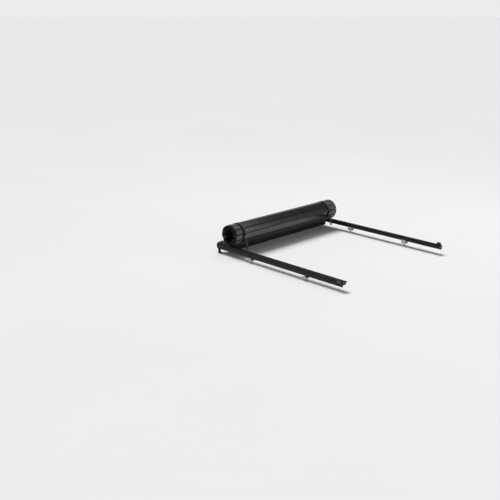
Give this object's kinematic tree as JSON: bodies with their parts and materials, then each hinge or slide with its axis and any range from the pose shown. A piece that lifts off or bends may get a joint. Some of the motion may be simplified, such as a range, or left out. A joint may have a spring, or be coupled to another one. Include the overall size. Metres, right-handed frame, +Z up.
{
  "type": "tonneau cover",
  "caption": "Hard roll-up tonneau cover: hinged aluminium slats with moulded end blocks, rolled and strapped over a header bar at the cab end of clamp-on side rails.",
  "frame": {"origin": "middle of the footprint, on the plane the clamp bolts and header feet stand on", "axes": "+X to the right side of the bed, +Y to the cab, +Z up"},
  "size_m": [1.47, 1.5, 0.2923],
  "materials": {
    "slat": "satin",
    "rail": "satin",
    "moulded": "matte",
    "seal": "matte",
    "bracket": "satin",
    "fastener": "satin",
    "pin": "satin",
    "clamp": "satin",
    "webbing": "matte"
  },
  "bodies": {
    "frame": {"left_rail": "rail", "right_rail": "rail", "rail_seals": "seal", "rail_end_caps": "moulded", "header_bar": "rail", "header_seal": "seal", "header_brackets": "bracket", "header_bolts": "fastener", "latch_blocks": "moulded", "strap_anchors": "bracket", "clamp_bolts": "fastener", "left_strap": "webbing", "right_strap": "webbing"},
    "slat_01": {"slat_01": "slat"},
    "slat_02": {"slat_02": "slat"},
    "slat_03": {"slat_03": "slat", "left_buckle": "pin", "right_buckle": "pin"},
    "slat_04": {"slat_04": "slat"},
    "slat_05": {"slat_05": "slat"},
    "slat_06": {"slat_06": "slat"},
    "slat_07": {"slat_07": "slat"},
    "slat_08": {"slat_08": "slat"},
    "slat_09": {"slat_09": "slat"},
    "slat_10": {"slat_10": "slat"},
    "slat_11": {"slat_11": "slat"},
    "slat_12": {"slat_12": "slat"},
    "slat_13": {"slat_13": "slat"},
    "slat_14": {"slat_14": "slat"},
    "slat_15": {"slat_15": "slat"},
    "slat_16": {"slat_16": "slat"},
    "slat_17": {"slat_17": "slat"},
    "slat_18": {"slat_18": "slat"},
    "slat_19": {"slat_19": "slat"},
    "slat_20": {"slat_20": "slat"},
    "slat_21": {"slat_21": "slat"},
    "slat_22": {"slat_22": "slat"},
    "slat_23": {"slat_23": "slat"},
    "slat_24": {"slat_24": "slat"},
    "slat_25": {"slat_25": "slat"},
    "slat_26": {"slat_26": "slat"},
    "tail": {"tail_bar": "slat", "tail_seal": "seal"},
    "pin_left": {"latch_pin_left": "pin"},
    "pin_right": {"latch_pin_right": "pin"},
    "jaw_left_front": {"clamp_jaw_left_front": "clamp"},
    "jaw_left_rear": {"clamp_jaw_left_rear": "clamp"},
    "jaw_right_front": {"clamp_jaw_right_front": "clamp"},
    "jaw_right_rear": {"clamp_jaw_right_rear": "clamp"}
  },
  "joints": [
    {"name": "hinge_01", "type": "hinge", "parent": "frame", "child": "slat_01", "pos_m": [0, 0.587, 0.1], "axis": [1, 0, 0], "range_deg": [0, 23.91]},
    {"name": "hinge_02", "type": "hinge", "parent": "slat_01", "child": "slat_02", "pos_m": [0, 0.54221, 0.11986], "axis": [1, 0, 0], "range_deg": [0, 30.2]},
    {"name": "hinge_03", "type": "hinge", "parent": "slat_02", "child": "slat_03", "pos_m": [0, 0.51348, 0.15956], "axis": [1, 0, 0], "range_deg": [0, 30.61]},
    {"name": "hinge_04", "type": "hinge", "parent": "slat_03", "child": "slat_04", "pos_m": [0, 0.50897, 0.20835], "axis": [1, 0, 0], "range_deg": [0, 31.02], "deforming": ["left_strap", "right_strap"]},
    {"name": "hinge_05", "type": "hinge", "parent": "slat_04", "child": "slat_05", "pos_m": [0, 0.53025, 0.25249], "axis": [1, 0, 0], "range_deg": [0, 31.46]},
    {"name": "hinge_06", "type": "hinge", "parent": "slat_05", "child": "slat_06", "pos_m": [0, 0.57144, 0.27903], "axis": [1, 0, 0], "range_deg": [0, 31.92]},
    {"name": "hinge_07", "type": "hinge", "parent": "slat_06", "child": "slat_07", "pos_m": [0, 0.62044, 0.27979], "axis": [1, 0, 0], "range_deg": [0, 32.39]},
    {"name": "hinge_08", "type": "hinge", "parent": "slat_07", "child": "slat_08", "pos_m": [0, 0.66221, 0.25418], "axis": [1, 0, 0], "range_deg": [0, 32.89]},
    {"name": "hinge_09", "type": "hinge", "parent": "slat_08", "child": "slat_09", "pos_m": [0, 0.68338, 0.20999], "axis": [1, 0, 0], "range_deg": [0, 33.42]},
    {"name": "hinge_10", "type": "hinge", "parent": "slat_09", "child": "slat_10", "pos_m": [0, 0.67672, 0.16144], "axis": [1, 0, 0], "range_deg": [0, 33.96]},
    {"name": "hinge_11", "type": "hinge", "parent": "slat_10", "child": "slat_11", "pos_m": [0, 0.64407, 0.1249], "axis": [1, 0, 0], "range_deg": [0, 34.54]},
    {"name": "hinge_12", "type": "hinge", "parent": "slat_11", "child": "slat_12", "pos_m": [0, 0.59646, 0.11331], "axis": [1, 0, 0], "range_deg": [0, 35.15]},
    {"name": "hinge_13", "type": "hinge", "parent": "slat_12", "child": "slat_13", "pos_m": [0, 0.55086, 0.13124], "axis": [1, 0, 0], "range_deg": [0, 35.79]},
    {"name": "hinge_14", "type": "hinge", "parent": "slat_13", "child": "slat_14", "pos_m": [0, 0.52435, 0.17245], "axis": [1, 0, 0], "range_deg": [0, 36.47]},
    {"name": "hinge_15", "type": "hinge", "parent": "slat_14", "child": "slat_15", "pos_m": [0, 0.52753, 0.22135], "axis": [1, 0, 0], "range_deg": [0, 37.18]},
    {"name": "hinge_16", "type": "hinge", "parent": "slat_15", "child": "slat_16", "pos_m": [0, 0.5596, 0.25839], "axis": [1, 0, 0], "range_deg": [0, 37.94]},
    {"name": "hinge_17", "type": "hinge", "parent": "slat_16", "child": "slat_17", "pos_m": [0, 0.60768, 0.26788], "axis": [1, 0, 0], "range_deg": [0, 38.75]},
    {"name": "hinge_18", "type": "hinge", "parent": "slat_17", "child": "slat_18", "pos_m": [0, 0.65111, 0.24518], "axis": [1, 0, 0], "range_deg": [0, 39.62]},
    {"name": "hinge_19", "type": "hinge", "parent": "slat_18", "child": "slat_19", "pos_m": [0, 0.67009, 0.20001], "axis": [1, 0, 0], "range_deg": [0, 40.55]},
    {"name": "hinge_20", "type": "hinge", "parent": "slat_19", "child": "slat_20", "pos_m": [0, 0.65515, 0.15334], "axis": [1, 0, 0], "range_deg": [0, 41.54]},
    {"name": "hinge_21", "type": "hinge", "parent": "slat_20", "child": "slat_21", "pos_m": [0, 0.61302, 0.12832], "axis": [1, 0, 0], "range_deg": [0, 42.61]},
    {"name": "hinge_22", "type": "hinge", "parent": "slat_21", "child": "slat_22", "pos_m": [0, 0.56508, 0.13842], "axis": [1, 0, 0], "range_deg": [0, 43.78]},
    {"name": "hinge_23", "type": "hinge", "parent": "slat_22", "child": "slat_23", "pos_m": [0, 0.53744, 0.17889], "axis": [1, 0, 0], "range_deg": [0, 45.04]},
    {"name": "hinge_24", "type": "hinge", "parent": "slat_23", "child": "slat_24", "pos_m": [0, 0.54655, 0.22703], "axis": [1, 0, 0], "range_deg": [0, 46.42]},
    {"name": "hinge_25", "type": "hinge", "parent": "slat_24", "child": "slat_25", "pos_m": [0, 0.5877, 0.25363], "axis": [1, 0, 0], "range_deg": [0, 47.93]},
    {"name": "hinge_26", "type": "hinge", "parent": "slat_25", "child": "slat_26", "pos_m": [0, 0.63502, 0.2409], "axis": [1, 0, 0], "range_deg": [0, 49.61]},
    {"name": "tail_hinge", "type": "hinge", "parent": "slat_26", "child": "tail", "pos_m": [0, 0.65599, 0.19661], "axis": [1, 0, 0], "range_deg": [0, 54]},
    {"name": "pin_left_slide", "type": "slide", "parent": "tail", "child": "pin_left", "axis": [-1, 0, 0], "range_m": [0, 0.012]},
    {"name": "pin_right_slide", "type": "slide", "parent": "tail", "child": "pin_right", "axis": [1, 0, 0], "range_m": [0, 0.012]},
    {"name": "jaw_left_front_slide", "type": "slide", "parent": "frame", "child": "jaw_left_front", "axis": [0, 0, -1], "range_m": [0, 0.012]},
    {"name": "jaw_left_rear_slide", "type": "slide", "parent": "frame", "child": "jaw_left_rear", "axis": [0, 0, -1], "range_m": [0, 0.012]},
    {"name": "jaw_right_front_slide", "type": "slide", "parent": "frame", "child": "jaw_right_front", "axis": [0, 0, -1], "range_m": [0, 0.012]},
    {"name": "jaw_right_rear_slide", "type": "slide", "parent": "frame", "child": "jaw_right_rear", "axis": [0, 0, -1], "range_m": [0, 0.012]}
  ],
  "couplings": [
    {"joint": "hinge_01", "follows": "hinge_04", "ratio": 0.77078},
    {"joint": "hinge_02", "follows": "hinge_04", "ratio": 0.97351},
    {"joint": "hinge_03", "follows": "hinge_04", "ratio": 0.98649},
    {"joint": "hinge_05", "follows": "hinge_04", "ratio": 1.0141},
    {"joint": "hinge_06", "follows": "hinge_04", "ratio": 1.0288},
    {"joint": "hinge_07", "follows": "hinge_04", "ratio": 1.0441},
    {"joint": "hinge_08", "follows": "hinge_04", "ratio": 1.0602},
    {"joint": "hinge_09", "follows": "hinge_04", "ratio": 1.0771},
    {"joint": "hinge_10", "follows": "hinge_04", "ratio": 1.0947},
    {"joint": "hinge_11", "follows": "hinge_04", "ratio": 1.1133},
    {"joint": "hinge_12", "follows": "hinge_04", "ratio": 1.1329},
    {"joint": "hinge_13", "follows": "hinge_04", "ratio": 1.1535},
    {"joint": "hinge_14", "follows": "hinge_04", "ratio": 1.1754},
    {"joint": "hinge_15", "follows": "hinge_04", "ratio": 1.1985},
    {"joint": "hinge_16", "follows": "hinge_04", "ratio": 1.223},
    {"joint": "hinge_17", "follows": "hinge_04", "ratio": 1.2491},
    {"joint": "hinge_18", "follows": "hinge_04", "ratio": 1.277},
    {"joint": "hinge_19", "follows": "hinge_04", "ratio": 1.3069},
    {"joint": "hinge_20", "follows": "hinge_04", "ratio": 1.339},
    {"joint": "hinge_21", "follows": "hinge_04", "ratio": 1.3735},
    {"joint": "hinge_22", "follows": "hinge_04", "ratio": 1.411},
    {"joint": "hinge_23", "follows": "hinge_04", "ratio": 1.4517},
    {"joint": "hinge_24", "follows": "hinge_04", "ratio": 1.4962},
    {"joint": "hinge_25", "follows": "hinge_04", "ratio": 1.5451},
    {"joint": "hinge_26", "follows": "hinge_04", "ratio": 1.5991},
    {"joint": "tail_hinge", "follows": "hinge_04", "ratio": 1.7406},
    {"joint": "pin_right_slide", "follows": "pin_left_slide", "ratio": 1}
  ]
}
